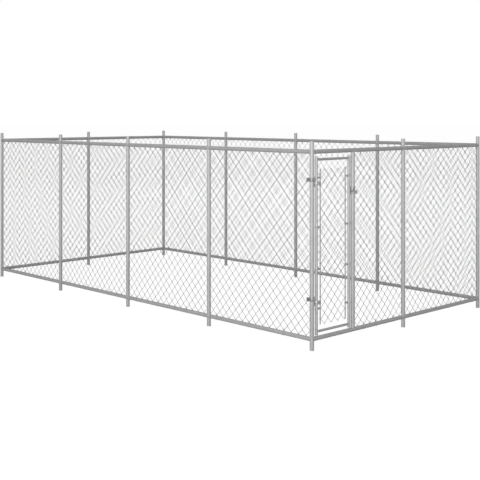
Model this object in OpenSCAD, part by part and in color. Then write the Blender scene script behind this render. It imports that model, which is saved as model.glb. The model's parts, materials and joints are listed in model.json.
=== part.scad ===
// Outdoor dog kennel run: a frame of galvanised tubes, wire mesh panels and one swinging gate.
// +Z is up, X goes across the run and Y along it. The gate is in the -Y end, next to the -X corner.
// The origin is on the ground, midway between the four corner posts. Sizes are in millimetres.

/* [Run] */
// Length between the centres of the end posts
run_length = 5775; // [4800:5:6600]
// Width between the centres of the corner posts
run_width = 2904; // [2400:4:3400]
// Height of the posts with their caps
run_height = 2000; // [1900:5:2200]
// Length of the first and last bay of each long side
end_bay = 1468; // [1250:1:1600]
// Drop from the post tops to the centre of the top rails
top_rail_drop = 100; // [60:1:130]
// Height of the centre of the bottom rails
bottom_rail_z = 108; // [60:1:140]

/* [Tubes] */
// Outside diameter of the posts
post_d = 42; // [42:0.5:46]
// Outside diameter of the rails
rail_d = 42; // [39:0.5:42]
// Outside diameter of the gate post
gate_post_d = 42; // [34:0.5:42.5]
// Outside diameter of the upright gate tubes
stile_d = 30; // [26:0.5:32]
// Outside diameter of the level gate tubes
gate_bar_d = 25; // [20:0.5:26]
// Wall of every tube
tube_wall = 1.5; // [1:0.1:2]
// Length of rail tube that slides over a spigot
spigot_length = 40; // [30:1:60]
// Thickness of the plate of a tube cap
cap_plate = 2; // [1.5:0.1:4]
// Depth of the plug of a tube cap
cap_plug = 14; // [8:1:25]

/* [Mesh] */
// Aimed spacing of the crossing wires along a rail
mesh_pitch = 235; // [150:5:400]
// Width of a mesh wire
wire_width = 4; // [3:0.1:5]
// Depth of each of the two layers of wires
wire_depth = 1.6; // [1.2:0.1:2.5]
// Half the width of a diamond of the woven mesh, which sets where the ties sit
half_diamond = 49; // [40:0.5:60]
// Diameter of the tie wire round the rails
tie_d = 2.5; // [2:0.1:3]

/* [Gate] */
// Distance from the corner post to the gate post, centre to centre
gate_bay = 613; // [560:1:900]
// Clear gap between the corner post and the hinge stile
hinge_gap = 28; // [26:0.5:34]
// Clear gap between the latch stile and the gate post
latch_gap = 26; // [24:0.5:34]
// Gap under the gate, above the bottom rail
gate_floor_gap = 7; // [5:0.5:20]
// Gap over the gate, below the top rail
gate_head_gap = 25; // [10:0.5:40]
// Rise of the gate's bottom bar above the stile ends
bottom_bar_rise = 36; // [25:0.5:60]
// Drop of the gate's top bar below the stile ends
top_bar_drop = 30; // [25:0.5:60]
// Distance from a stile to its tension bar, centre to centre
tension_offset = 56; // [46:0.5:70]
// Gap between the bottom bar and the gate mesh
mesh_floor_gap = 46; // [20:1:80]
// Gap between the top bar and the gate mesh
mesh_head_gap = 76; // [20:1:100]
// Width of a tension bar
tension_bar_w = 16; // [10:0.5:20]
// Thickness of a tension bar
tension_bar_t = 3; // [2.5:0.1:5]
// Height of the lowest tension band above the foot of the tension bars
band_rise_1 = 158; // [120:1:170]
// Height of the second tension band above the foot of the tension bars
band_rise_2 = 538; // [400:1:600]
// Height of the third tension band above the foot of the tension bars
band_rise_3 = 942; // [700:1:1000]
// Drop of the highest tension band below the head of the tension bars
band_drop_4 = 87; // [70:1:90]
// Height of a tension band
tension_band_h = 20; // [14:1:24]
// Thickness of a tension band's strap
tension_band_t = 2; // [1.5:0.1:3]

/* [Hinges] */
// Height of the joint between the two leaves of the lower hinge
lower_hinge_z = 470; // [440:1:480]
// Height of the joint between the two leaves of the upper hinge
upper_hinge_z = 1614; // [1600:1:1630]
// Height of a hinge leaf
leaf_h = 38; // [30:1:40]
// Thickness of the hinge and latch straps
strap_t = 2.5; // [2:0.1:3]
// Length of the ears of a hinge leaf, from the surface of its tube
ear_length = 30; // [25:0.5:35]
// Slot between the two ears of a clamp
ear_slot = 4; // [3:0.5:6]
// Diameter of a hinge pin
hinge_pin_d = 10; // [8:0.5:12]
// Outside diameter of a hinge knuckle
knuckle_d = 18; // [16:0.5:20]
// Diameter of the clamp bolts
clamp_bolt_d = 8; // [6:1:8]

/* [Latch] */
// Height of the underside of the latch collar
collar_z = 1461; // [1300:1:1480]
// Height of the latch collar
collar_h = 40; // [36:1:44]
// Length of the ears of the latch collar, from the surface of the gate post
collar_ear_length = 22; // [21:0.5:30]
// Height of the fork's pivot above the underside of the collar
pivot_rise = 29; // [20:0.5:32]
// Diameter of the fork's pivot rod
pivot_d = 8; // [6:0.5:9]
// Length of a fork tine from the pivot to its round tip
tine_length = 48; // [44:1:54]
// Width of a fork tine
tine_w = 14; // [12:0.5:15]
// Thickness of a fork tine
tine_t = 4; // [3:0.5:5]
// Lean of the raised fork past upright, towards the gate post
fork_lean = 40; // [10:1:45]

/* [Hidden] */
$fn = 48;
zinc = [0.74, 0.75, 0.76];
zinc_dull = [0.62, 0.63, 0.64];
zinc_dark = [0.45, 0.46, 0.47];
wire_grey = [0.68, 0.69, 0.70];
cap_grey = [0.70, 0.71, 0.72];

// Clearances
cut = 1;
seat_gap = 0.3;
spigot_fit = 0.25;
band_gap = 0.15;
pin_fit = 0.05;
bolt_fit = 0.1;
layer_gap = 0.4;
fork_side_gap = 1;
knuckle_gap = 0.6;
pin_end_gap = 0.3;

// Radii
post_r = post_d / 2;
rail_r = rail_d / 2;
gate_post_r = gate_post_d / 2;
stile_r = stile_d / 2;
gate_bar_r = gate_bar_d / 2;
spigot_r = rail_r - tube_wall - spigot_fit;
gate_spigot_r = gate_post_r - tube_wall - spigot_fit;
hinge_pin_r = hinge_pin_d / 2;
knuckle_r = knuckle_d / 2;
clamp_bolt_r = clamp_bolt_d / 2;
pivot_r = pivot_d / 2;

// Heights
top_rail_z = run_height - top_rail_drop;
rail_heights = [bottom_rail_z, top_rail_z];
post_tube_h = run_height - cap_plate;
gate_low = bottom_rail_z + rail_r + gate_floor_gap;
gate_high = top_rail_z - rail_r - gate_head_gap;
bottom_bar_z = gate_low + bottom_bar_rise;
top_bar_z = gate_high - top_bar_drop;
gate_mesh_low = bottom_bar_z + gate_bar_r + mesh_floor_gap;
gate_mesh_high = top_bar_z - gate_bar_r - mesh_head_gap;
band_heights = [
    gate_mesh_low + band_rise_1,
    gate_mesh_low + band_rise_2,
    gate_mesh_low + band_rise_3,
    gate_mesh_high - band_drop_4
];
hinge_heights = [lower_hinge_z, upper_hinge_z];

// The four sides, each with its heading, start corner and post stations; the run lies to its left
half = [run_width / 2, run_length / 2];
end_stations = [0, half.x, run_width];
long_stations = [0, end_bay, half.y, run_length - end_bay, run_length];
front = [0, [-half.x, -half.y], end_stations];
right = [90, [half.x, -half.y], long_stations];
back = [180, [half.x, half.y], end_stations];
left = [270, [-half.x, half.y], long_stations];
sides = [front, right, back, left];
function heading(side) = side[0];
function first_corner(side) = side[1];
function stations(side) = side[2];
function bays(side) = len(stations(side)) - 1;
function is_corner(side, station) = station == 0 || station == bays(side);

// Stations along the front side, from the gate corner
hinge_stile_x = post_r + hinge_gap + stile_r;
latch_stile_x = gate_bay - gate_post_r - latch_gap - stile_r;
hinge_axis_x = post_r + hinge_gap / 2;
tension_bar_x = [hinge_stile_x + tension_offset, latch_stile_x - tension_offset];

// Mesh panels, which clear the latch collar on the gate post
wire_total = 2 * wire_depth + layer_gap;
mesh_inset = wire_width / 2;
mesh_side_gap = strap_t + band_gap + seat_gap + wire_width / 2;
panel_low = bottom_rail_z + rail_r + mesh_inset;
panel_high = top_rail_z - rail_r - mesh_inset;
function gate_side(side, bay) = side == front && bay == 0;
function panel_start(side, bay) =
    mesh_side_gap + (gate_side(side, bay) ? gate_bay + gate_post_r : stations(side)[bay] + post_r);
function panel_width(side, bay) =
    stations(side)[bay + 1] - post_r - mesh_side_gap - panel_start(side, bay);
function net_columns(width) = max(2, round(width / mesh_pitch));

// Screws that hold rail ends on their spigots
screw_r = 2.4;
screw_head_r = 5;
screw_head_h = 2.5;
screw_length = 8;
screw_offset = post_r + spigot_length / 2;

// Ties along one rail of a panel
ties_per_rail = 3;

// Bolts across the gate post, placed from the surfaces of the bottom and the top rail
gate_bolt_r = 2.5;
gate_bolt_rises = [67, 105];
gate_bolt_drops = [47, 90];
gate_bolt_heights = [
    for (rise = gate_bolt_rises) bottom_rail_z + rail_r + rise,
    for (drop = gate_bolt_drops) top_rail_z - rail_r - drop
];
gate_spigot_length = 130;

// Bolts: head, nut, thread stub and distance to the end of an ear as multiples of the bolt radius
head_ratio = 1.8;
head_rise = 1.3;
nut_rise = 1.6;
thread_stub = 0.5;
tension_bolt_r = 3;
ear_edge = 2.4;
ear_grip = ear_slot + 2 * strap_t;

// Tension bands
tension_slot = tension_bar_t + 2 * seat_gap;
tension_grip = tension_slot + 2 * tension_band_t;
tension_reach = tension_offset + tension_bar_w / 2;
tension_bolt_at = (stile_r + band_gap + tension_band_t + tension_offset - tension_bar_w / 2) / 2;

// Hinge leaves
post_ear_heading = 135;
gate_ear_heading = -45;
leaf_web = 8;
function ear_bolt_at(radius, length) = radius + length - ear_edge * clamp_bolt_r;
pin_head_r = knuckle_r;
pin_head_h = 5;
pin_nut_h = 8;
pin_stub = 2;

// Latch
lug_t = 6;
lug_rise = 30;
lug_x = -(gate_post_r + latch_gap / 2);
collar_ear_heading = -45;
collar_bolt_at = ear_bolt_at(gate_post_r, collar_ear_length);
lock_hole_r = 4;
fork_inner = gate_post_r + band_gap + strap_t + fork_side_gap;

// Shared shapes

// Places its children in the frame of one side: X along the side, +Y into the run
module on_side(side) {
    translate(first_corner(side)) rotate(heading(side)) children();
}

// Lays a shape that is drawn along +Z down along +X
module along_x() {
    rotate([0, 90, 0]) children();
}

// Upright round tube
module tube(radius, length) {
    difference() {
        cylinder(r = radius, h = length);
        translate([0, 0, -cut]) cylinder(r = radius - tube_wall, h = length + 2 * cut);
    }
}

// Push-in cap with its plate from z = 0 up and its plug below
module tube_cap(radius) {
    cylinder(r = radius - seat_gap, h = cap_plate);
    translate([0, 0, -cap_plug]) cylinder(r = radius - tube_wall - spigot_fit, h = cap_plug + cut);
}

// What a level tube loses where it meets a post: a saddle, and a mitre at a corner
module post_seat(corner) {
    height = rail_d + 2 * cut;
    translate([0, 0, -height / 2]) {
        cylinder(r = post_r + seat_gap, h = height);
        if (corner) {
            linear_extrude(height)
                polygon([[0, 0], [seat_gap, 0], [seat_gap + rail_d, rail_d], [0, rail_d]]);
        }
    }
}

// Hole for the screw under one end of a rail
module rail_screw_hole() {
    translate([screw_offset, 0, -rail_r - cut]) cylinder(r = screw_r + bolt_fit, h = rail_r);
}

// One rail between two posts
module rail_span(length, start_corner, end_corner) {
    difference() {
        along_x() cylinder(r = rail_r, h = length);
        translate([-cut, 0, 0]) along_x() cylinder(r = rail_r - tube_wall, h = length + 2 * cut);
        post_seat(start_corner);
        rail_screw_hole();
        translate([length, 0, 0]) mirror([1, 0, 0]) {
            post_seat(end_corner);
            rail_screw_hole();
        }
    }
}

// Sleeve welded to a post that fills one end of a rail
module rail_spigot() {
    difference() {
        translate([post_r + seat_gap, 0, 0]) along_x() tube(spigot_r, spigot_length);
        rail_screw_hole();
    }
}

// Screw with its head against z = 0 and its shank upwards
module screw() {
    translate([0, 0, -screw_head_h]) cylinder(r = screw_head_r, h = screw_head_h);
    cylinder(r = screw_r, h = screw_length);
}

// Strap round a tube with a pair of slotted ears along +X
module band_outline(radius, strap, reach, slot) {
    difference() {
        union() {
            circle(r = radius + band_gap + strap);
            translate([0, -slot / 2 - strap]) square([reach, slot + 2 * strap]);
        }
        circle(r = radius + band_gap);
        translate([0, -slot / 2]) square([reach + cut, slot]);
    }
}

// Hexagon bolt along Y through a grip that is centred on the origin, with its nut
module clamp_bolt(radius, grip) {
    rotate([-90, 0, 0]) {
        translate([0, 0, -grip / 2 - head_rise * radius])
            cylinder(r = head_ratio * radius, h = head_rise * radius, $fn = 6);
        translate([0, 0, -grip / 2 - cut])
            cylinder(r = radius, h = cut + grip + (nut_rise + thread_stub) * radius);
        translate([0, 0, grip / 2]) difference() {
            cylinder(r = head_ratio * radius, h = nut_rise * radius, $fn = 6);
            translate([0, 0, -cut]) cylinder(r = radius + pin_fit, h = nut_rise * radius + 2 * cut);
        }
    }
}

// One straight wire of a panel, on the line z = x + shift in cells
module net_wire(cell, shift, columns, rows, full_depth) {
    start = max(0, -shift);
    end = min(columns, rows - shift);
    depth = full_depth ? wire_total : wire_depth;
    translate([start * cell.x, 0, (start + shift) * cell.y])
        rotate([0, -atan2(cell.y, cell.x), 0])
            translate([0, -wire_total / 2, -wire_width / 2])
                cube([(end - start) * norm(cell), depth, wire_width]);
}

// Wires of one slope; those that run from edge to edge are as deep as both layers and join the rest
module net_layer(cell, columns, rows) {
    for (shift = [1 - columns : rows - 1]) {
        joins = shift % columns == 0 && shift >= 0 && shift <= rows - columns;
        net_wire(cell, shift, columns, rows, joins);
    }
}

// Diamond mesh panel in the XZ plane from the origin, made of two crossing layers
module net(width, height) {
    columns = net_columns(width);
    rows = columns * max(1, round(height / (columns * mesh_pitch)));
    cell = [width / columns, height / rows];
    color(wire_grey) {
        net_layer(cell, columns, rows);
        translate([width, 0, 0]) rotate([0, 0, 180]) net_layer(cell, columns, rows);
    }
}

// Frame

module post(side, station) {
    color(zinc) on_side(side) translate([stations(side)[station], 0, 0]) tube(post_r, post_tube_h);
}

module gate_post() {
    color(zinc) on_side(front) translate([gate_bay, 0, 0]) difference() {
        translate([0, 0, bottom_rail_z]) tube(gate_post_r, top_rail_z - bottom_rail_z);
        for (z = rail_heights) {
            translate([-gate_post_d, 0, z]) along_x() cylinder(r = rail_r + seat_gap, h = 2 * gate_post_d);
        }
        gate_post_holes();
    }
}

// Holes across the gate post for the bolts that hold it on its spigots
module gate_post_holes() {
    for (z = gate_bolt_heights) {
        translate([-gate_post_d, 0, z]) along_x() cylinder(r = gate_bolt_r + bolt_fit, h = 2 * gate_post_d);
    }
}

// Bolts across the gate post, with their heads towards the gate
module gate_post_bolts() {
    color(zinc_dark) on_side(front) for (z = gate_bolt_heights) {
        translate([gate_bay, 0, z]) rotate([0, 0, -90])
            clamp_bolt(gate_bolt_r, gate_post_d + 2 * bolt_fit);
    }
}

module rails(side, z) {
    at = stations(side);
    color(zinc_dull) on_side(side) for (bay = [0 : bays(side) - 1]) {
        translate([at[bay], 0, z])
            rail_span(at[bay + 1] - at[bay], is_corner(side, bay), is_corner(side, bay + 1));
    }
}

// Mesh panel of one bay; the first bay of the front starts at the gate post
module mesh_bay(side, bay) {
    on_side(side) translate([panel_start(side, bay), 0, panel_low])
        net(panel_width(side, bay), panel_high - panel_low);
}

module post_caps() {
    color(cap_grey) for (side = sides) {
        on_side(side) for (station = [0 : bays(side) - 1]) {
            translate([stations(side)[station], 0, post_tube_h]) tube_cap(post_r);
        }
    }
}

// Puts its children at both ends of every rail, X pointing along the rail away from the post
module at_rail_ends() {
    for (side = sides, bay = [0 : bays(side) - 1], z = rail_heights) {
        on_side(side) {
            translate([stations(side)[bay], 0, z]) children();
            translate([stations(side)[bay + 1], 0, z]) rotate([0, 0, 180]) children();
        }
    }
}

module rail_spigots() {
    color(zinc_dull) {
        at_rail_ends() rail_spigot();
        on_side(front) translate([gate_bay, 0, 0]) difference() {
            reach = rail_r + seat_gap;
            for (z = [bottom_rail_z + reach, top_rail_z - reach - gate_spigot_length]) {
                translate([0, 0, z]) tube(gate_spigot_r, gate_spigot_length);
            }
            gate_post_holes();
        }
    }
}

module rail_screws() {
    color(zinc_dark) at_rail_ends() translate([screw_offset, 0, -rail_r - bolt_fit]) screw();
}

// Rings of tie wire round the rails, near the middle of the panel's cells and where a wire end of the
// woven mesh meets the rail: every other half diamond, the first one left out at the bottom rail.
// The half diamonds are counted towards +X and +Y.
module mesh_ties() {
    color(wire_grey) for (side = sides, bay = [0 : bays(side) - 1]) {
        width = panel_width(side, bay);
        columns = net_columns(width);
        link = width / round(width / half_diamond);
        backwards = heading(side) >= 180;
        on_side(side) for (tie = [0 : ties_per_rail - 1], level = [0, 1]) {
            aim = (floor((tie + 0.5) * columns / ties_per_rail) + 0.5) * width / columns;
            first = level == 0 ? link : 0;
            spot = first + 2 * link * round((aim - first) / (2 * link));
            place = panel_start(side, bay) + (backwards ? width - spot : spot);
            translate([place - tie_d / 2, 0, rail_heights[level]]) along_x() tie_ring();
        }
    }
}

// Ring of tie wire that lies close round a rail
module tie_ring() {
    difference() {
        cylinder(r = rail_r + seat_gap + tie_d, h = tie_d);
        translate([0, 0, -cut]) cylinder(r = rail_r + seat_gap, h = tie_d + 2 * cut);
    }
}

// Gate

module stile(x) {
    color(zinc) on_side(front) translate([x, 0, gate_low + cap_plate])
        tube(stile_r, gate_high - gate_low - 2 * cap_plate);
}

module gate_bar(z) {
    color(zinc_dull) on_side(front) difference() {
        translate([hinge_stile_x, 0, z]) along_x() tube(gate_bar_r, latch_stile_x - hinge_stile_x);
        for (x = [hinge_stile_x, latch_stile_x]) {
            translate([x, 0, z - gate_bar_d]) cylinder(r = stile_r + seat_gap, h = 2 * gate_bar_d);
        }
    }
}

module tension_bar(x) {
    color(zinc_dull) on_side(front)
        translate([x - tension_bar_w / 2, -tension_bar_t / 2, gate_mesh_low])
            cube([tension_bar_w, tension_bar_t, gate_mesh_high - gate_mesh_low]);
}

// Puts its children at each tension band, X pointing from the stile to the tension bar
module at_tension_bands() {
    on_side(front) for (z = band_heights) {
        translate([hinge_stile_x, 0, z]) children();
        translate([latch_stile_x, 0, z]) rotate([0, 0, 180]) children();
    }
}

module gate_tension_bands() {
    color(zinc_dark) at_tension_bands() difference() {
        translate([0, 0, -tension_band_h / 2]) linear_extrude(tension_band_h)
            band_outline(stile_r, tension_band_t, tension_reach, tension_slot);
        translate([tension_bolt_at, 0, 0]) rotate([90, 0, 0])
            cylinder(r = tension_bolt_r + bolt_fit, h = tension_grip + 2 * cut, center = true);
    }
}

module gate_tension_bolts() {
    color(zinc_dark) at_tension_bands() translate([tension_bolt_at, 0, 0])
        clamp_bolt(tension_bolt_r, tension_grip);
}

module gate_mesh() {
    inset = tension_bar_w / 2 + mesh_inset;
    start = tension_bar_x[0] + inset;
    end = tension_bar_x[1] - inset;
    on_side(front) translate([start, 0, gate_mesh_low]) net(end - start, gate_mesh_high - gate_mesh_low);
}

module gate_stile_caps() {
    color(cap_grey) on_side(front) for (x = [hinge_stile_x, latch_stile_x]) {
        translate([x, 0, gate_high - cap_plate]) tube_cap(stile_r);
        translate([x, 0, gate_low + cap_plate]) mirror([0, 0, 1]) tube_cap(stile_r);
    }
}

// Hinges

// Clamp band with a knuckle for the pin, from z = 0 up
module hinge_leaf(radius, pin_heading, ear_heading) {
    pin_distance = radius + hinge_gap / 2;
    difference() {
        linear_extrude(leaf_h) difference() {
            union() {
                rotate(ear_heading) band_outline(radius, strap_t, radius + ear_length, ear_slot);
                rotate(pin_heading) {
                    translate([radius + band_gap, -leaf_web / 2]) square([hinge_gap / 2, leaf_web]);
                    translate([pin_distance, 0]) circle(r = knuckle_r);
                }
            }
            circle(r = radius + band_gap);
            rotate(pin_heading) translate([pin_distance, 0]) circle(r = hinge_pin_r + pin_fit);
        }
        rotate(ear_heading) translate([ear_bolt_at(radius, ear_length), 0, leaf_h / 2]) rotate([90, 0, 0])
            cylinder(r = clamp_bolt_r + bolt_fit, h = ear_grip + 2 * cut, center = true);
    }
}

module hinge_post_leaves() {
    color(zinc_dark) on_side(front) for (z = hinge_heights) {
        translate([0, 0, z + knuckle_gap / 2]) hinge_leaf(post_r, 0, post_ear_heading);
    }
}

module hinge_gate_leaves() {
    color(zinc_dark) on_side(front) for (z = hinge_heights) {
        translate([hinge_stile_x, 0, z - knuckle_gap / 2 - leaf_h])
            hinge_leaf(stile_r, 180, gate_ear_heading);
    }
}

// Pins that hang from the post leaves, with their heads on top
module hinge_pins() {
    span = 2 * leaf_h + knuckle_gap + pin_end_gap + pin_nut_h + pin_stub;
    color(zinc_dark) on_side(front) for (z = hinge_heights) {
        translate([hinge_axis_x, 0, z + knuckle_gap / 2 + leaf_h]) {
            cylinder(r = pin_head_r, h = pin_head_h, $fn = 6);
            translate([0, 0, -span]) cylinder(r = hinge_pin_r, h = span + cut);
        }
    }
}

module hinge_pin_nuts() {
    color(zinc_dark) on_side(front) for (z = hinge_heights) {
        translate([hinge_axis_x, 0, z - knuckle_gap / 2 - leaf_h - pin_end_gap - pin_nut_h]) difference() {
            cylinder(r = pin_head_r, h = pin_nut_h, $fn = 6);
            translate([0, 0, -cut]) cylinder(r = hinge_pin_r + pin_fit, h = pin_nut_h + 2 * cut);
        }
    }
}

// Bolts through the ears of the leaves on the tube of the given radius at the given station
module leaf_bolts(radius, station, lift, heading) {
    color(zinc_dark) on_side(front) for (z = hinge_heights) {
        translate([station, 0, z + lift]) rotate([0, 0, heading])
            translate([ear_bolt_at(radius, ear_length), 0, 0]) clamp_bolt(clamp_bolt_r, ear_grip);
    }
}

module hinge_post_bolts() {
    leaf_bolts(post_r, 0, (knuckle_gap + leaf_h) / 2, post_ear_heading);
}

module hinge_gate_bolts() {
    leaf_bolts(stile_r, hinge_stile_x, -(knuckle_gap + leaf_h) / 2, gate_ear_heading);
}

// Latch

// Draws in the frame of the gate post at the height of the collar's underside
module at_collar() {
    on_side(front) translate([gate_bay, 0, collar_z]) children();
}

// Strap round the gate post with an upright lug that carries the fork
module latch_collar() {
    lug_r = tine_w / 2;
    lug_top = collar_h + lug_rise - lug_r;
    color(zinc_dark) at_collar() difference() {
        union() {
            linear_extrude(collar_h) rotate(collar_ear_heading)
                band_outline(gate_post_r, strap_t, gate_post_r + collar_ear_length, ear_slot);
            translate([lug_x, lug_t / 2, 0]) rotate([90, 0, 0]) linear_extrude(lug_t) {
                translate([-lug_r, 0]) square([tine_w, lug_top]);
                translate([0, lug_top]) circle(r = lug_r);
                square([-lug_x - gate_post_r - band_gap, collar_h]);
            }
        }
        translate([0, 0, -cut]) cylinder(r = gate_post_r + band_gap, h = collar_h + 2 * cut);
        translate([lug_x, 0, pivot_rise]) rotate([90, 0, 0])
            cylinder(r = pivot_r + pin_fit, h = lug_t + 2 * cut, center = true);
        translate([lug_x, 0, lug_top]) rotate([90, 0, 0])
            cylinder(r = lock_hole_r, h = lug_t + 2 * cut, center = true);
        rotate([0, 0, collar_ear_heading]) translate([collar_bolt_at, 0, collar_h / 2]) rotate([90, 0, 0])
            cylinder(r = clamp_bolt_r + bolt_fit, h = ear_grip + 2 * cut, center = true);
    }
}

module latch_collar_bolt() {
    color(zinc_dark) at_collar() rotate([0, 0, collar_ear_heading])
        translate([collar_bolt_at, 0, collar_h / 2]) clamp_bolt(clamp_bolt_r, ear_grip);
}

// Fork of two tines on a pivot rod, raised and leaning back beside the gate post
module latch_fork() {
    color(zinc_dark) at_collar() translate([lug_x, 0, pivot_rise]) rotate([90, 0, 0]) {
        cylinder(r = pivot_r, h = 2 * fork_inner + cut, center = true);
        for (side = [-1, 1]) {
            translate([0, 0, side * (fork_inner + tine_t / 2) - tine_t / 2])
                rotate(90 - fork_lean) linear_extrude(tine_t) {
                    circle(r = tine_w / 2);
                    translate([0, -tine_w / 2]) square([tine_length, tine_w]);
                    translate([tine_length, 0]) circle(r = tine_w / 2);
                }
        }
    }
}

// Drawing

post(front, 0);  // post_front_left
post(front, 1);  // post_front_middle
post(right, 0);  // post_front_right
post(right, 1);  // post_right_1
post(right, 2);  // post_right_2
post(right, 3);  // post_right_3
post(back, 0);  // post_back_right
post(back, 1);  // post_back_middle
post(left, 0);  // post_back_left
post(left, 1);  // post_left_1
post(left, 2);  // post_left_2
post(left, 3);  // post_left_3
gate_post();
rails(front, bottom_rail_z);  // rails_front_bottom
rails(front, top_rail_z);  // rails_front_top
rails(right, bottom_rail_z);  // rails_right_bottom
rails(right, top_rail_z);  // rails_right_top
rails(back, bottom_rail_z);  // rails_back_bottom
rails(back, top_rail_z);  // rails_back_top
rails(left, bottom_rail_z);  // rails_left_bottom
rails(left, top_rail_z);  // rails_left_top
mesh_bay(front, 0);  // mesh_front_1
mesh_bay(front, 1);  // mesh_front_2
mesh_bay(right, 0);  // mesh_right_1
mesh_bay(right, 1);  // mesh_right_2
mesh_bay(right, 2);  // mesh_right_3
mesh_bay(right, 3);  // mesh_right_4
mesh_bay(back, 0);  // mesh_back_1
mesh_bay(back, 1);  // mesh_back_2
mesh_bay(left, 0);  // mesh_left_1
mesh_bay(left, 1);  // mesh_left_2
mesh_bay(left, 2);  // mesh_left_3
mesh_bay(left, 3);  // mesh_left_4
stile(hinge_stile_x);  // gate_hinge_stile
stile(latch_stile_x);  // gate_latch_stile
gate_bar(top_bar_z);  // gate_top_bar
gate_bar(bottom_bar_z);  // gate_bottom_bar
tension_bar(tension_bar_x[0]);  // gate_tension_bar_hinge
tension_bar(tension_bar_x[1]);  // gate_tension_bar_latch
gate_tension_bands();
gate_tension_bolts();
gate_mesh();
gate_stile_caps();
hinge_post_leaves();
hinge_gate_leaves();
hinge_pins();
hinge_pin_nuts();
hinge_post_bolts();
hinge_gate_bolts();
latch_collar();
latch_collar_bolt();
latch_fork();
post_caps();
rail_spigots();
rail_screws();
gate_post_bolts();
mesh_ties();
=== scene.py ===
"""Looks of the outdoor dog kennel run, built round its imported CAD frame. All lengths are in metres."""

import json
import math

import bpy
import numpy as np
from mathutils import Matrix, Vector


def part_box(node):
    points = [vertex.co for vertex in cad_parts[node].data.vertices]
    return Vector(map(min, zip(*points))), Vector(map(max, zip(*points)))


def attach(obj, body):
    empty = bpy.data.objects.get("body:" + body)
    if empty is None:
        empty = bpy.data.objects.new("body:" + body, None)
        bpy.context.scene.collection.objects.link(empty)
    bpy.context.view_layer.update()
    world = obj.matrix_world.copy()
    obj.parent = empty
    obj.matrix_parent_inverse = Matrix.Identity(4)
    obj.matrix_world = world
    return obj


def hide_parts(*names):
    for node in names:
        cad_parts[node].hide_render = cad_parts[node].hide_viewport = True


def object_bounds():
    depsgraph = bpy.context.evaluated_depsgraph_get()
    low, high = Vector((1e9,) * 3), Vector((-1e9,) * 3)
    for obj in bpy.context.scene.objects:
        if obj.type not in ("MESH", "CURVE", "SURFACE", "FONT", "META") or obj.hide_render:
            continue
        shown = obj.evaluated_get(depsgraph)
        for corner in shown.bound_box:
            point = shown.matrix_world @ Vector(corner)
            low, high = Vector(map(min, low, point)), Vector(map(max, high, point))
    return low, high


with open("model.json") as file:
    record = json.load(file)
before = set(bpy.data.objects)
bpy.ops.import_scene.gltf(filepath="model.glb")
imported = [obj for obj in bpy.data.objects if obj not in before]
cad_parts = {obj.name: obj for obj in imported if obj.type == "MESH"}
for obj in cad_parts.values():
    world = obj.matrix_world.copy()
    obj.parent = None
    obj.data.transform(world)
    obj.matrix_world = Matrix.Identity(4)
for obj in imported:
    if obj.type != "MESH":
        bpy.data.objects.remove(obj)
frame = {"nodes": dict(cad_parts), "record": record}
cad_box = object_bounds()

# Camera of the photograph: level, with a shifted lens, so that the posts stay upright
CAMERA_PLACE = (-8.2155, -8.9165, 2.2505)
CAMERA_HEADING = math.radians(-43.94)
CAMERA_LENS = 70.92
CAMERA_SHIFT = -0.2603
CAMERA_REACH = 200.0

# Chain link: the wire, half the width and half the height of a diamond, bends and knuckled ends
WIRE_D = 0.0038
PICKET_WIDTH = 0.049
HALF_DIAMOND = 0.0533
WIRE_SIDES = 6
RING_START = (0.31, 0.83, 0.46)
BEND_ANGLES = [math.radians(a) for a in (-55, -28, 0, 28, 55)]
KNUCKLE_TAIL = 0.006
POST_CLEARANCE = 0.0006

# Panels as cut from the roll: some start with the other bend, and one has a picket fewer
TURNED_PANELS = ("mesh_left_2", "mesh_back_1", "mesh_right_3", "mesh_front_2")
SHORT_PANELS = ("mesh_back_2",)

# Gate mesh: its columns and rows, its gaps to the tension bars and how far it stands inside their ends
GATE_COLUMNS = 7
GATE_ROWS = 28
HINGE_EDGE = 0.0042
LATCH_EDGE = 0.0046
GATE_FOOT = 0.001
GATE_HEAD = 0.005

# Edge bends of the gate mesh, which are drawn out round the tension bars except close to a tension band
WRAP_ANGLES = [math.radians(a) for a in (-90, -60, -30, 0, 30, 60, 90)]
WRAP_REACH = 0.0034
WRAP_DEPTH = 0.0036
WRAP_RISE = 0.0024
BAR_CLEARANCE = 0.0031
BAND_ZONE = 0.0145

# Tie wires: the wire, its loop round the rail, and its legs and twist beside the rail
TIE_D = 0.0025
TIE_SIDES = 8
TIE_LEG_OUT = 0.0066
TIE_LEG_START = 0.0035
TIE_LEG_END = 0.010
TIE_LEAVE = 1.25
TIE_INSET = 0.55
TIE_GAP = 0.03
TWIST_START = 0.0155
TWIST_END = 0.030
TWIST_TURNS = 2.0
TWIST_RADIUS = 0.0013
TWIST_POINTS = 17
LOOP_POINTS = 25

# Bolts, as multiples of the bolt's radius: head, nut and the end that stands out of the nut
HEAD_RATIO = 1.8
BOLT_HEAD = 1.3
PIN_HEAD = 1.0
NUT_RISE = 1.6
BOLT_STUB = 0.5

# Corners and threads of fasteners, and the directions in which they may lie
HEX_SIDES = 36
CROWN = 0.94
THREAD_PITCH = 0.00125
THREAD_DEPTH = 0.0006
THREAD_STEPS = 4
THREAD_TIP = 1.2
FASTENER_WAYS = ((1, 0, 0), (0, 1, 0), (0, 0, 1), (1, 1, 0), (1, -1, 0))
FASTENER_AXES = [np.array(way) / np.linalg.norm(way) for way in FASTENER_WAYS]
FACE_SHARE = 0.02
UPRIGHT = 0.9
TINY = 1e-9
SHARP_ANGLE = math.radians(30)

# Gaps that part the solids of one CAD node, for fasteners far from each other or close together
FAR_GAP = 0.2
NEAR_GAP = 0.03
BOLT_PAIR_GAP = 0.015
BAND_GAP = 0.1

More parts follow.
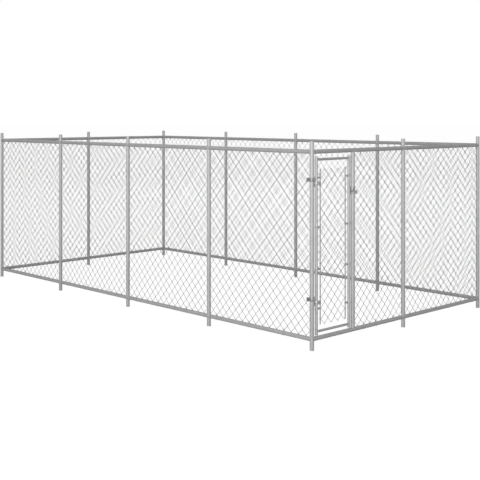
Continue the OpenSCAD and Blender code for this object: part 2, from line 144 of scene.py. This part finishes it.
# Rail screws: shares of the head's radius, then ends of the hexagon and washer, and the shank
SCREW_HEX = 0.8
SCREW_WASHER_TOP = 0.88
SCREW_HEX_END = 0.0017
SCREW_WASHER_EDGE = 0.0003
SCREW_WASHER_END = 0.0025
SCREW_SHANK = 0.0024

# Blue cast of zinc and plastic greys, and the margin of each tube's strip in the map
BLUE_CAST = 1.01
STRIP_MARGIN = 0.1

# Chamfers on straps, bars and caps
EDGE_ROUND = 0.0006
EDGE_STEPS = 2
EDGE_ANGLE = math.radians(40)
WELD_DISTANCE = 1e-5

# Painted shade on ears and painted light on knuckles: which way they stand out, how far past the tube they
# start and how soft
POST_EAR = (-math.sqrt(0.5), math.sqrt(0.5), 0.0)
FRONT_EAR = (math.sqrt(0.5), -math.sqrt(0.5), 0.0)
KNUCKLE_WAY = (1.0, 0.0, 0.0)
STRAP_RISE = 0.003
SHADE_EDGE = 0.001

# Studio: world and floor, and a large lamp in front and a weak one behind
DOME_LIGHT = 0.28
FLOOR_SIZE = 400.0
FLOOR_GREY = 0.12
FLOOR_GLOW = 0.955
KEY_POWER = 1700.0
KEY_PLACE = (-15.0, -10.4, 3.0)
KEY_AIM = (-1.0, -1.5, 1.0)
KEY_SIZE = 5.3
FILL_POWER = 700.0
FILL_PLACE = (14.0, 11.0, 9.0)
FILL_AIM = (0.0, 0.0, 1.0)
FILL_SIZE = 6.0


def named_nodes(start):
    """Names of the CAD nodes that begin with the given words."""
    return sorted(name for name in frame["nodes"] if name.startswith(start))


def cad_points(node):
    """The vertices of a CAD node in the frame of the run."""
    piece = frame["nodes"][node]
    points = np.array([vertex.co[:] for vertex in piece.data.vertices])
    matrix = np.array(piece.matrix_world)
    return points @ matrix[:3, :3].T + matrix[:3, 3]


def clusters(points, gaps):
    """Splits points into groups that lie further apart than a gap, which may differ for X, Y and Z."""
    for axis, gap in enumerate(np.broadcast_to(gaps, 3)):
        ordered = points[np.argsort(points[:, axis])]
        breaks = np.nonzero(np.diff(ordered[:, axis]) > gap)[0] + 1
        if len(breaks):
            return [group for part in np.split(ordered, breaks) for group in clusters(part, gaps)]
    return [points]


# Materials


class Shader:
    """A material with a Principled shader, and short ways to add and join nodes."""

    def __init__(self, name, metallic):
        self.material = bpy.data.materials.new(name)
        self.material.use_nodes = True
        self.tree = self.material.node_tree
        self.principled = self.tree.nodes["Principled BSDF"]
        self.principled.inputs["Metallic"].default_value = metallic
        self.place = self.add("ShaderNodeTexCoord").outputs["Object"]

    def add(self, kind, **settings):
        """A new node with the given settings."""
        node = self.tree.nodes.new(kind)
        for key, value in settings.items():
            setattr(node, key, value)
        return node

    def join(self, output, socket):
        """Links an output to a socket."""
        self.tree.links.new(output, socket)

    def stretched(self, scale):
        """The surface point, stretched by the three factors."""
        mapping = self.add("ShaderNodeMapping")
        mapping.inputs["Scale"].default_value = scale
        self.join(self.place, mapping.inputs["Vector"])
        return mapping.outputs["Vector"]

    def noise(self, scale, detail=3.0, vector=None):
        """A soft noise with so many blotches per metre."""
        node = self.add("ShaderNodeTexNoise")
        node.inputs["Scale"].default_value = scale
        node.inputs["Detail"].default_value = detail
        self.join(vector or self.place, node.inputs["Vector"])
        return node.outputs["Fac"]

    def cells(self, scale):
        """One random grey for each crystal of a zinc coat."""
        node = self.add("ShaderNodeTexVoronoi", feature="F1")
        node.inputs["Scale"].default_value = scale
        self.join(self.place, node.inputs["Vector"])
        grey = self.add("ShaderNodeSeparateColor")
        self.join(node.outputs["Color"], grey.inputs["Color"])
        return grey.outputs["Red"]

    def spread(self, value, low, high):
        """The value, which runs from 0 to 1, moved to the range from low to high."""
        node = self.add("ShaderNodeMapRange")
        node.inputs["To Min"].default_value = low
        node.inputs["To Max"].default_value = high
        self.join(value, node.inputs["Value"])
        return node.outputs["Result"]

    def painted_height_shade(self, low):
        """Painted shade: a value that runs from low at the ground to 1 at the tops of the posts."""
        axes = self.add("ShaderNodeSeparateXYZ")
        self.join(self.place, axes.inputs["Vector"])
        node = self.add("ShaderNodeMapRange")
        node.inputs["From Max"].default_value = cad_box[1][2]
        node.inputs["To Min"].default_value = low
        node.inputs["To Max"].default_value = 1.0
        self.join(axes.outputs["Z"], node.inputs["Value"])
        return node.outputs["Result"]

    def painted_shade_past(self, direction, distance, factor):
        """1 up to a distance along a direction, and the factor from there on: the mask of painted shade and
        painted light.
        """
        along = self.add("ShaderNodeVectorMath", operation="DOT_PRODUCT")
        along.inputs[1].default_value = direction
        self.join(self.place, along.inputs[0])
        node = self.add("ShaderNodeMapRange")
        node.inputs["From Min"].default_value = distance
        node.inputs["From Max"].default_value = distance + SHADE_EDGE
        node.inputs["To Min"].default_value = 1.0
        node.inputs["To Max"].default_value = factor
        self.join(along.outputs["Value"], node.inputs["Value"])
        return node.outputs["Result"]

    def times(self, first, second):
        """The product of two values."""
        node = self.add("ShaderNodeMath", operation="MULTIPLY")
        self.join(first, node.inputs[0])
        self.join(second, node.inputs[1])
        return node.outputs["Value"]

    def grey(self, value, tint):
        """Colours the surface with a tint times a value."""
        node = self.add("ShaderNodeMix", data_type="RGBA", blend_type="MULTIPLY")
        node.inputs["Factor"].default_value = 1.0
        node.inputs["A"].default_value = (tint, tint, tint * BLUE_CAST, 1.0)
        self.join(value, node.inputs["B"])
        self.join(node.outputs["Result"], self.principled.inputs["Base Color"])

    def rough(self, value):
        """Lets a value set how rough the surface is."""
        self.join(value, self.principled.inputs["Roughness"])

    def bump(self, value, depth):
        """Raises the surface by a value times a depth."""
        node = self.add("ShaderNodeBump")
        node.inputs["Strength"].default_value = 1.0
        node.inputs["Distance"].default_value = depth
        self.join(value, node.inputs["Height"])
        self.join(node.outputs["Normal"], self.principled.inputs["Normal"])


def galvanised(name, tint, streaks, foot=None):
    """Hot-dipped zinc: crystals of slightly different greys, dull streaks and a faint orange peel.

    foot is the share of the tint that is left at the ground: painted shade, darker towards the ground.
    """
    shader = Shader(name, 0.15)
    shader.principled.inputs["Specular IOR Level"].default_value = 0.15
    crystals = shader.spread(shader.cells(75.0), 0.90, 1.06)
    run_marks = shader.spread(shader.noise(6.0, 4.0, shader.stretched(streaks)), 0.84, 1.14)
    value = shader.times(crystals, run_marks)
    # Painted shade: the tint grows darker towards the ground
    if foot:
        value = shader.times(value, shader.painted_height_shade(foot))
    shader.grey(value, tint)
    shader.rough(shader.spread(shader.noise(45.0, 4.0), 0.44, 0.66))
    shader.bump(shader.noise(160.0, 2.0), 0.0002)
    return shader.material


def wire_zinc(name, tint):
    """Drawn wire with a thin zinc coat that dulls in patches."""
    shader = Shader(name, 0.5)
    patches = shader.spread(shader.noise(14.0, 3.0), 0.80, 1.18)
    grain = shader.spread(shader.noise(420.0, 2.0), 0.93, 1.07)
    shader.grey(shader.times(patches, grain), tint)
    shader.rough(shader.spread(shader.noise(60.0, 2.0), 0.32, 0.52))
    return shader.material


def zinc_plate(name, tint, painted_shades=()):
    """Pressed steel with a dull, slightly blotched zinc plate.

    Each entry paints shade or light: what stands out from a tube in one direction, such as an ear, is made
    darker (painted shade) or lighter (painted light).
    """
    shader = Shader(name, 0.55)
    blotches = shader.spread(shader.noise(70.0, 4.0), 0.78, 1.20)
    grain = shader.spread(shader.noise(900.0, 2.0), 0.94, 1.06)
    value = shader.times(blotches, grain)
    # Painted shade and painted light past each tube
    for tube, direction, factor in painted_shades:
        low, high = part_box(tube)
        strap = (low + high).dot(Vector(direction)) / 2 + (high.x - low.x) / 2 + STRAP_RISE
        value = shader.times(value, shader.painted_shade_past(direction, strap, factor))
    shader.grey(value, tint)
    shader.rough(shader.spread(shader.noise(240.0, 3.0), 0.32, 0.55))
    shader.bump(shader.noise(650.0, 2.0), 0.00008)
    return shader.material


def cap_plastic(name, tint):
    """Moulded grey plastic with a fine grain."""
    shader = Shader(name, 0.0)
    shader.grey(shader.spread(shader.noise(90.0, 3.0), 0.92, 1.08), tint)
    shader.rough(shader.spread(shader.noise(300.0, 2.0), 0.42, 0.60))
    shader.bump(shader.noise(1500.0, 1.0), 0.00006)
    return shader.material


UPRIGHT_STREAKS = (9.0, 9.0, 1.2)
LEVEL_STREAKS = (1.6, 1.6, 9.0)
LOOKS = {
    # Posts: painted shade, darker towards the ground (0.78 of the tint at the foot)
    "post_tube": galvanised("galvanised_post_painted_shade", 0.64, UPRIGHT_STREAKS, 0.78),
    # Rails: the same zinc as the posts with a darker tint, painted shade of the lamp's direction
    "rail_tube": galvanised("galvanised_rail_painted_shade", 0.51, LEVEL_STREAKS),
    "wire": wire_zinc("galvanised_wire", 0.17),
    "hardware": zinc_plate("zinc_strap", 0.22),
    "cap": cap_plastic("cap_plastic", 0.55),
    "bar": galvanised("galvanised_bar", 0.62, UPRIGHT_STREAKS),
    "pale_strap": zinc_plate("zinc_pale_strap", 0.42),
    "pin": zinc_plate("zinc_pin", 0.60),
    # Painted shade darkens the ears of the hinge leaves and the latch collar; painted light brightens the
    # knuckle side of the post leaf
    "post_leaf": zinc_plate("zinc_post_leaf_painted_shade_and_light", 0.27, [
        ("post_front_left", POST_EAR, 0.5), ("post_front_left", KNUCKLE_WAY, 1.9)]),
    "gate_leaf": zinc_plate("zinc_gate_leaf_painted_shade", 0.45, [("gate_hinge_stile", FRONT_EAR, 0.45)]),
    "collar": zinc_plate("zinc_collar_painted_shade", 0.42, [("gate_post", FRONT_EAR, 0.7)]),
    "bolt": zinc_plate("zinc_bolt", 0.13),
    "tie": wire_zinc("tie_wire", 0.45),
}
NODE_LOOKS = {
    "gate_tension_bar_hinge": "bar",
    "gate_tension_bar_latch": "bar",
    "hinge_post_leaves": "post_leaf",
    "hinge_gate_leaves": "gate_leaf",
    "hinge_pins": "pin",
    "hinge_pin_nuts": "pin",
    "rail_screws": "pale_strap",
    "gate_tension_bands": "pale_strap",
    "latch_collar": "collar",
    "hinge_post_bolts": "bolt",
    "hinge_gate_bolts": "bolt",
    "latch_collar_bolt": "bolt",
    "gate_post_bolts": "bolt",
}


def dress(piece, look):
    """Gives a piece one of the looks."""
    piece.data.materials.clear()
    piece.data.materials.append(LOOKS[look])


# Mesh building


def tube_rings(path, radius, sides):
    """Rings of points round a path, turned as little as possible from one to the next."""
    path = np.asarray(path, float)
    forward = np.gradient(path, axis=0)
    forward /= np.linalg.norm(forward, axis=1)[:, None]
    across = np.cross(forward[0], RING_START)
    turn = np.linspace(0, 2 * math.pi, sides, endpoint=False)
    rings = np.empty((len(path), sides, 3))
    for i, (point, ahead) in enumerate(zip(path, forward)):
        across = across - ahead * across.dot(ahead)
        across /= np.linalg.norm(across)
        up = np.cross(ahead, across)
        rings[i] = point + radius * (np.outer(np.cos(turn), across) + np.outer(np.sin(turn), up))
    return rings


def tube_faces(count, sides):
    """Quads between the rings of one tube."""
    ring, side = np.meshgrid(np.arange(count - 1), np.arange(sides), indexing="ij")
    after = (side + 1) % sides
    low, high = ring * sides, (ring + 1) * sides
    return np.stack((low + side, low + after, high + after, high + side), axis=-1).reshape(-1, 4)


def strip_map(count, sides, place, total):
    """UV corners of one tube: an upright strip of the map, the tube's seam down both its edges."""
    ring, side = np.meshgrid(np.arange(count - 1), np.arange(sides), indexing="ij")
    share = 1 - 2 * STRIP_MARGIN
    left = (place + STRIP_MARGIN + share * side / sides) / total
    right = (place + STRIP_MARGIN + share * (side + 1) / sides) / total
    low = ring / (count - 1)
    high = (ring + 1) / (count - 1)
    corners = [np.stack(c, axis=-1) for c in ((left, low), (right, low), (right, high), (left, high))]
    return np.stack(corners, axis=2).reshape(-1, 2)


def tubes_piece(name, tubes, look, sharp_angle=None):
    """One piece made of tubes, each a stack of rings, with closed ends and a UV strip for every tube."""
    points, quads, maps, ends, start = [], [], [], [], 0
    for place, rings in enumerate(tubes):
        count, sides, _ = rings.shape
        points.append(rings.reshape(-1, 3))
        quads.append(tube_faces(count, sides) + start)
        maps.append(strip_map(count, sides, place, len(tubes)))
        ends.append([start + s for s in reversed(range(sides))])
        ends.append([start + (count - 1) * sides + s for s in range(sides)])
        start += count * sides
    points = np.concatenate(points)
    quads = np.concatenate(quads)
    end_map = np.tile([[0.5 / len(tubes), 0.5]], (sum(len(e) for e in ends), 1))
    mesh = bpy.data.meshes.new(name)
    mesh.from_pydata(points.tolist(), [], quads.tolist() + ends)
    layer = mesh.uv_layers.new(name="OFBake")
    layer.uv.foreach_set("vector", np.concatenate(maps + [end_map]).astype(np.float32).ravel())
    mesh.shade_smooth()
    if sharp_angle:
        mesh.set_sharp_from_angle(angle=sharp_angle)
    piece = bpy.data.objects.new(name, mesh)
    bpy.context.scene.collection.objects.link(piece)
    dress(piece, look)
    return piece


# Chain link


def bend(side):
    """Centre line of a picket's bend at a node, upwards: it hooks round the bend of the picket next to it.

    side is 1 for a bend that points along the panel and -1 for one that points back.
    """
    slant = WIRE_D / math.sqrt(2)
    points = []
    for angle in BEND_ANGLES:
        swing = slant * math.sin(angle)
        points.append((side * WIRE_D * (math.cos(angle) - 0.5), side * swing, swing))
    return points


def knuckle(side, rise):
    """Centre line of the hook at a picket's end, from the mesh to the tip of its tail.

    Its points lie at multiples of the wire's diameter from the node.
    """
    wrap = 0.95 * WIRE_D
    return [
        (-0.4 * side * WIRE_D, -0.6 * side * wrap, -0.6 * rise * WIRE_D),
        (0.5 * side * WIRE_D, -0.3 * side * wrap, 0.3 * rise * WIRE_D),
        (0.7 * side * WIRE_D, 0.5 * side * wrap, 0.2 * rise * WIRE_D),
        (0.2 * side * WIRE_D, side * wrap, -0.8 * rise * WIRE_D),
        (-0.5 * side * WIRE_D, side * wrap, -rise * KNUCKLE_TAIL),
    ]


def hairpin(side, reach):
    """Centre line of an edge bend, upwards, that crosses a tension bar and turns round its far edge."""
    leg = [
        (-0.7 * side * WIRE_D, -0.9 * side * WRAP_DEPTH, -WRAP_RISE - 0.8 * WIRE_D),
        (0.6 * side * WIRE_D, -side * WRAP_DEPTH, -WRAP_RISE - 0.1 * WIRE_D),
    ]
    turn = []
    for angle in WRAP_ANGLES:
        along = side * (reach + WRAP_REACH * (math.cos(angle) - 1))
        turn.append((along, side * WRAP_DEPTH * math.sin(angle), WRAP_RISE * math.sin(angle)))
    return leg + turn + [(x, -y, -z) for x, y, z in reversed(leg)]


def picket_path(start, width, rows, row_height, first_side, outer_side=0, edge_turn=None):
    """Centre line of one zigzag wire, from its lower knuckle to its upper one.

    edge_turn, where it gives one, makes the bends on outer_side.
    """
    path = []
    for row in range(rows + 1):
        side = first_side if row % 2 == 0 else -first_side
        node = np.array((start + (width if side > 0 else 0.0), 0.0, row * row_height))
        if row == 0:
            turn = [(x, -y, z) for x, y, z in reversed(knuckle(side, -1))]
        elif row == rows:
            turn = knuckle(side, 1)
        else:
            turn = edge_turn(side, node[2]) if edge_turn and side == outer_side else None
        path.extend(node + np.array(point) for point in turn or bend(side))
    return np.array(path)


def chain_link(name, corner, along, inward, size, counts, first_bend=1, edge_turn=None):
    """A panel of interlocked pickets.

    corner is its lower start, along runs across it and inward points into the run. size is its width and
    height, counts its columns and rows. first_bend is the side to which the first wire's lowest bend points.
    edge_turn makes the bends of its two upright edges.
    """
    columns, rows = counts
    width, height = size[0] / columns, size[1] / rows
    axes = np.array((along, inward, (0.0, 0.0, 1.0)))
    tubes = []
    for column in range(columns):
        outer_side = {0: -1, columns - 1: 1}.get(column, 0)
        first_side = first_bend if column % 2 == 0 else -first_bend
        path = picket_path(column * width, width, rows, height, first_side, outer_side, edge_turn)
        tubes.append(np.asarray(corner) + tube_rings(path, WIRE_D / 2, WIRE_SIDES) @ axes)
    return tubes_piece(name, tubes, "wire")


def bay_panels():
    """The panels of the frame, each in the space that its CAD node holds, knuckles on the rails."""
    for node in named_nodes("mesh_"):
        if node == "mesh_ties":
            continue
        low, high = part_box(node)
        middle = (low + high) / 2
        across_x = high.x - low.x > high.y - low.y
        along = Vector((1, 0, 0)) if across_x else Vector((0, 1, 0))
        inward = Vector((0, 1, 0)) if across_x else Vector((1, 0, 0))
        corner = middle - along * (high - low).dot(along) / 2
        corner.z = low.z + WIRE_D
        corner += along * POST_CLEARANCE
        size = ((high - low).dot(along) - 2 * POST_CLEARANCE, high.z - low.z - 2 * WIRE_D)
        columns = round(size[0] / PICKET_WIDTH) - (node in SHORT_PANELS)
        counts = (columns, round(size[1] / HALF_DIAMOND))
        first_bend = -1 if node in TURNED_PANELS else 1
        piece = chain_link("chain_link_" + node[5:], corner, along, inward, size, counts, first_bend)
        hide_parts(node)
        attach(piece, "frame")


def gate_panel():
    """The panel of the gate: its edge bends wrap the tension bars, its knuckles stand free."""
    hinge_low, hinge_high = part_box("gate_tension_bar_hinge")
    latch_low, latch_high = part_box("gate_tension_bar_latch")
    groups = clusters(cad_points("gate_tension_bands"), BAND_GAP)
    bands = [(group[:, 2].min() + group[:, 2].max()) / 2 for group in groups]
    corner = Vector((hinge_high.x + HINGE_EDGE, (hinge_low.y + hinge_high.y) / 2, hinge_low.z + GATE_FOOT))
    end = latch_low.x - LATCH_EDGE
    size = (end - corner.x, hinge_high.z - GATE_HEAD - corner.z)
    reach = {-1: corner.x - hinge_low.x + BAR_CLEARANCE, 1: latch_high.x + BAR_CLEARANCE - end}

    def edge_turn(side, rise):
        at_band = min(abs(corner.z + rise - band) for band in bands) < BAND_ZONE
        return None if at_band else hairpin(side, reach[side])

    counts = (GATE_COLUMNS, GATE_ROWS)
    piece = chain_link("chain_link_gate", corner, (1, 0, 0), (0, 1, 0), size, counts, edge_turn=edge_turn)
    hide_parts("gate_mesh")
    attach(piece, "gate")


# Tie wires


def tie_path(loop_radius, rail_radius):
    """Centre line of a tie: one twisted end, the loop round the rail, the other end. Z points to the mesh."""
    lift = np.linspace(TWIST_END, TWIST_START, TWIST_POINTS)
    turn = 2 * math.pi * TWIST_TURNS * (lift - TWIST_START) / (TWIST_END - TWIST_START)
    twist = np.stack((TWIST_RADIUS * np.sin(turn), -TWIST_RADIUS * np.cos(turn), rail_radius + lift), axis=-1)
    leave = math.asin(TIE_LEAVE * TIE_LEG_OUT / loop_radius)
    round_rail = np.linspace(2 * math.pi - leave, leave, LOOP_POINTS)
    loop = loop_radius * np.stack((0 * round_rail, np.sin(round_rail), np.cos(round_rail)), axis=-1)
    legs = np.array([(0, TIE_LEG_OUT, rail_radius + z) for z in (TIE_LEG_START, TIE_LEG_END)])
    outer_legs = (legs * (1, -1, 1))[::-1]
    inner_twist = (twist * (-1, -1, 1))[::-1]
    return np.concatenate((twist, outer_legs, loop, legs, inner_twist))


def tie_wires():
    """The ties that hold the bay panels to the rails, where their CAD rings are."""
    rail_low, rail_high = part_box("rails_front_top")
    rail_radius = (rail_high.z - rail_low.z) / 2
    half_height = cad_box[1][2] / 2
    tubes = []
    for ring in clusters(cad_points("mesh_ties"), TIE_GAP):
        low, high = ring.min(axis=0), ring.max(axis=0)
        span = high - low
        along_x = span[0] < span[1]
        path = tie_path(span[2] / 2 - TIE_INSET * TIE_D, rail_radius)
        rings = tube_rings(path, TIE_D / 2, TIE_SIDES)
        to_mesh = 1.0 if low[2] < half_height else -1.0
        across = to_mesh if along_x else -to_mesh
        axes = np.array(((1, 0, 0), (0, across, 0), (0, 0, to_mesh)) if along_x
                        else ((0, 1, 0), (across, 0, 0), (0, 0, to_mesh)))
        tubes.append((low + high) / 2 + rings @ axes)
    piece = tubes_piece("tie_wires", tubes, "tie")
    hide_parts("mesh_ties")
    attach(piece, "frame")


# Fasteners


def side_axes(axis):
    """Two directions square to an axis, in right-handed order with it."""
    helper = np.array((1.0, 0, 0)) if abs(axis[2]) > UPRIGHT else np.array((0, 0, 1.0))
    u = helper - axis * helper.dot(axis)
    u /= np.linalg.norm(u)
    return u, np.cross(axis, u)


def fastener_line(points):
    """Middle of a fastener's outer face, direction to its tip, radius of its head and length."""
    fits = []
    for axis in FASTENER_AXES:
        u, v = side_axes(axis)
        flat = np.stack((points @ u, points @ v), axis=-1)
        middle = (flat.min(axis=0) + flat.max(axis=0)) / 2
        reach = np.linalg.norm(flat - middle, axis=1)
        fits.append((reach.max(), tuple(axis), middle[0] * u + middle[1] * v, reach))
    radius, axis, foot, reach = min(fits, key=lambda fit: fit[0])
    axis = np.array(axis)
    along = points @ axis
    edge = FACE_SHARE * np.ptp(along)
    head_last = reach[along > along.max() - edge].max() > reach[along < along.min() + edge].max()
    start = foot + axis * (along.max() if head_last else along.min())
    return start, -axis if head_last else axis, radius, np.ptp(along)


def placed(levels, start, axis):
    """Rings round an axis. Each level is a radius and a distance from the start, or lists of them by side."""
    turn = np.linspace(0, 2 * math.pi, HEX_SIDES, endpoint=False)
    u, v = side_axes(axis)
    rings = []
    for radius, distance in levels:
        spokes = np.outer(np.cos(turn), u) + np.outer(np.sin(turn), v)
        shift = np.outer(np.broadcast_to(distance, turn.shape), axis)
        rings.append(start + spokes * np.reshape(radius, (-1, 1)) + shift)
    return np.array(rings)


def hexagon(radius, low, high, chamfer_low, chamfer_high):
    """Levels of a hexagon head or nut, its corners turned down on the chamfered faces."""
    turn = np.linspace(0, 2 * math.pi, HEX_SIDES, endpoint=False)
    flat = radius * math.cos(math.pi / 6)
    reach = flat / np.cos(np.mod(turn + TINY, math.pi / 3) - math.pi / 6)
    crown = CROWN * flat
    drop = (reach - crown) * math.tan(math.pi / 6)
    first = [(crown, low), (reach, low + drop)] if chamfer_low else [(reach, low)]
    last = [(reach, high - drop), (crown, high)] if chamfer_high else [(reach, high)]
    return first + last


def thread(radius, low, high):
    """Levels of a threaded end with a chamfered tip."""
    turn = np.linspace(0, 1, HEX_SIDES, endpoint=False)
    tip = radius - THREAD_TIP * THREAD_DEPTH
    step = THREAD_PITCH / THREAD_STEPS
    levels = []
    for distance in np.arange(low, high - step, step):
        phase = np.mod(distance / THREAD_PITCH - turn, 1.0)
        levels.append((radius - THREAD_DEPTH * np.abs(2 * phase - 1), distance))
    return levels + [(tip, high)]


def bolt(points, head_rise, nut_rise):
    """Tubes of one bolt in place of its CAD points: a head, a shank, a threaded end and any nut."""
    start, axis, head_radius, length = fastener_line(points)
    radius = head_radius / HEAD_RATIO
    thread_start = length - (NUT_RISE + BOLT_STUB) * radius
    tubes = [
        placed(hexagon(head_radius, 0.0, head_rise * radius, True, False), start, axis),
        placed([(radius, head_rise * radius), (radius, thread_start)], start, axis),
        placed(thread(radius, thread_start, length), start, axis),
    ]
    if nut_rise:
        nut_end = thread_start + nut_rise * radius
        tubes.append(placed(hexagon(head_radius, thread_start, nut_end, True, True), start, axis))
    return tubes


def clamp_bolt(points):
    """Tubes of one bolt with its nut."""
    return bolt(points, BOLT_HEAD, NUT_RISE)


def hinge_pin(points):
    """Tubes of one hinge pin, whose nut is a node of its own."""
    return bolt(points, PIN_HEAD, 0.0)


def pin_nut(points):
    """Tubes of one nut in place of its CAD points."""
    start, axis, radius, length = fastener_line(points)
    return [placed(hexagon(radius, 0.0, length, True, True), start, axis)]


def rail_screw(points):
    """Tubes of one screw in place of its CAD points: a washer, a hexagon and a shank."""
    start, axis, radius, length = fastener_line(points)
    washer = [
        (SCREW_WASHER_TOP * radius, SCREW_HEX_END),
        (radius, SCREW_HEX_END + SCREW_WASHER_EDGE),
        (radius, SCREW_WASHER_END),
    ]
    return [
        placed(hexagon(SCREW_HEX * radius, 0.0, SCREW_HEX_END, True, False), start, axis),
        placed(washer, start, axis),
        placed([(SCREW_SHANK, SCREW_WASHER_END), (SCREW_SHANK, length)], start, axis),
    ]


def fasteners():
    """Bolts, pins, nuts and screws with turned corners and threads, each where its CAD solid is."""
    kinds = {
        "hinge_post_bolts": ("frame", FAR_GAP, clamp_bolt),
        "hinge_gate_bolts": ("gate", FAR_GAP, clamp_bolt),
        "latch_collar_bolt": ("frame", FAR_GAP, clamp_bolt),
        "gate_tension_bolts": ("gate", FAR_GAP, clamp_bolt),
        "hinge_pins": ("frame", FAR_GAP, hinge_pin),
        "hinge_pin_nuts": ("frame", FAR_GAP, pin_nut),
        "rail_screws": ("frame", NEAR_GAP, rail_screw),
        "gate_post_bolts": ("frame", (FAR_GAP, FAR_GAP, BOLT_PAIR_GAP), clamp_bolt),
    }
    for node, (body, gap, build) in kinds.items():
        tubes = [tube for points in clusters(cad_points(node), gap) for tube in build(points)]
        look = NODE_LOOKS.get(node, "hardware")
        piece = tubes_piece("turned_" + node, tubes, look, SHARP_ANGLE)
        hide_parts(node)
        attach(piece, body)


# CAD nodes that stay


def round_edges(node):
    """Welds a CAD node's seams and rounds its sharp edges."""
    piece = frame["nodes"][node]
    weld = piece.modifiers.new("seams", "WELD")
    weld.merge_threshold = WELD_DISTANCE
    edges = piece.modifiers.new("edges", "BEVEL")
    edges.limit_method = "ANGLE"
    edges.angle_limit = EDGE_ANGLE
    edges.width = EDGE_ROUND
    edges.segments = EDGE_STEPS
    edges.harden_normals = True


def dress_cad():
    """Gives every CAD node its look, by its slot in the record or its own name."""
    for part in frame["record"]["subparts"]:
        node, slot = part["node"], part["material_slot"]
        dress(frame["nodes"][node], NODE_LOOKS.get(node, slot))
        if slot in ("hardware", "cap"):
            round_edges(node)


# Stage


def seen_rays(tree):
    """1 for camera, glossy and transmission rays, 0 for the rest."""
    path = tree.nodes.new("ShaderNodeLightPath")
    seen = path.outputs["Is Camera Ray"]
    for kind in ("Is Glossy Ray", "Is Transmission Ray"):
        most = tree.nodes.new("ShaderNodeMath")
        most.operation = "MAXIMUM"
        tree.links.new(seen, most.inputs[0])
        tree.links.new(path.outputs[kind], most.inputs[1])
        seen = most.outputs["Value"]
    return seen


def white_world(dome_light):
    """White where it is seen, and a softer dome light where it lights the object."""
    world = bpy.data.worlds.new("studio")
    bpy.context.scene.world = world
    world.use_nodes = True
    tree = world.node_tree
    background = tree.nodes["Background"]
    background.inputs["Color"].default_value = (1, 1, 1, 1)
    strength = tree.nodes.new("ShaderNodeMapRange")
    strength.inputs["To Min"].default_value = dome_light
    strength.inputs["To Max"].default_value = 1.0
    tree.links.new(seen_rays(tree), strength.inputs["Value"])
    tree.links.new(strength.outputs["Result"], background.inputs["Strength"])


def pale_floor(size, grey, glow):
    """A wide floor that keeps the object's shadow and is white where it is seen lit."""
    mesh = bpy.data.meshes.new("floor")
    half = size / 2
    corners = [(-half, -half, 0), (half, -half, 0), (half, half, 0), (-half, half, 0)]
    mesh.from_pydata(corners, [], [(0, 1, 2, 3)])
    floor = bpy.data.objects.new("floor", mesh)
    bpy.context.scene.collection.objects.link(floor)
    material = bpy.data.materials.new("pale_floor")
    material.use_nodes = True
    tree = material.node_tree
    tree.nodes.clear()
    matte = tree.nodes.new("ShaderNodeBsdfDiffuse")
    matte.inputs["Color"].default_value = (grey, grey, grey, 1)
    light = tree.nodes.new("ShaderNodeEmission")
    strength = tree.nodes.new("ShaderNodeMath")
    strength.operation = "MULTIPLY"
    strength.inputs[1].default_value = glow
    tree.links.new(seen_rays(tree), strength.inputs[0])
    tree.links.new(strength.outputs["Value"], light.inputs["Strength"])
    both = tree.nodes.new("ShaderNodeAddShader")
    tree.links.new(matte.outputs["BSDF"], both.inputs[0])
    tree.links.new(light.outputs["Emission"], both.inputs[1])
    output = tree.nodes.new("ShaderNodeOutputMaterial")
    tree.links.new(both.outputs["Shader"], output.inputs["Surface"])
    mesh.materials.append(material)


def softbox(name, power, place, aim, size):
    """A square lamp of the given size that looks from a place at an aim."""
    lamp = bpy.data.lights.new(name, "AREA")
    lamp.energy = power
    lamp.shape = "SQUARE"
    lamp.size = size
    holder = bpy.data.objects.new(name, lamp)
    bpy.context.scene.collection.objects.link(holder)
    holder.location = place
    holder.rotation_mode = "QUATERNION"
    holder.rotation_quaternion = (Vector(place) - Vector(aim)).to_track_quat("Z", "Y")


def photo_camera():
    """The camera of the photograph."""
    lens = bpy.data.cameras.new("camera")
    lens.lens = CAMERA_LENS
    lens.shift_y = CAMERA_SHIFT
    lens.clip_end = CAMERA_REACH
    camera = bpy.data.objects.new("camera", lens)
    bpy.context.scene.collection.objects.link(camera)
    camera.location = CAMERA_PLACE
    camera.rotation_euler = (math.pi / 2, 0, CAMERA_HEADING)
    bpy.context.scene.camera = camera


bpy.context.scene.view_settings.view_transform = "Standard"
photo_camera()
white_world(DOME_LIGHT)
pale_floor(FLOOR_SIZE, FLOOR_GREY, FLOOR_GLOW)
softbox("key", KEY_POWER, KEY_PLACE, KEY_AIM, KEY_SIZE)
softbox("fill", FILL_POWER, FILL_PLACE, FILL_AIM, FILL_SIZE)
dress_cad()
bay_panels()
gate_panel()
tie_wires()
fasteners()
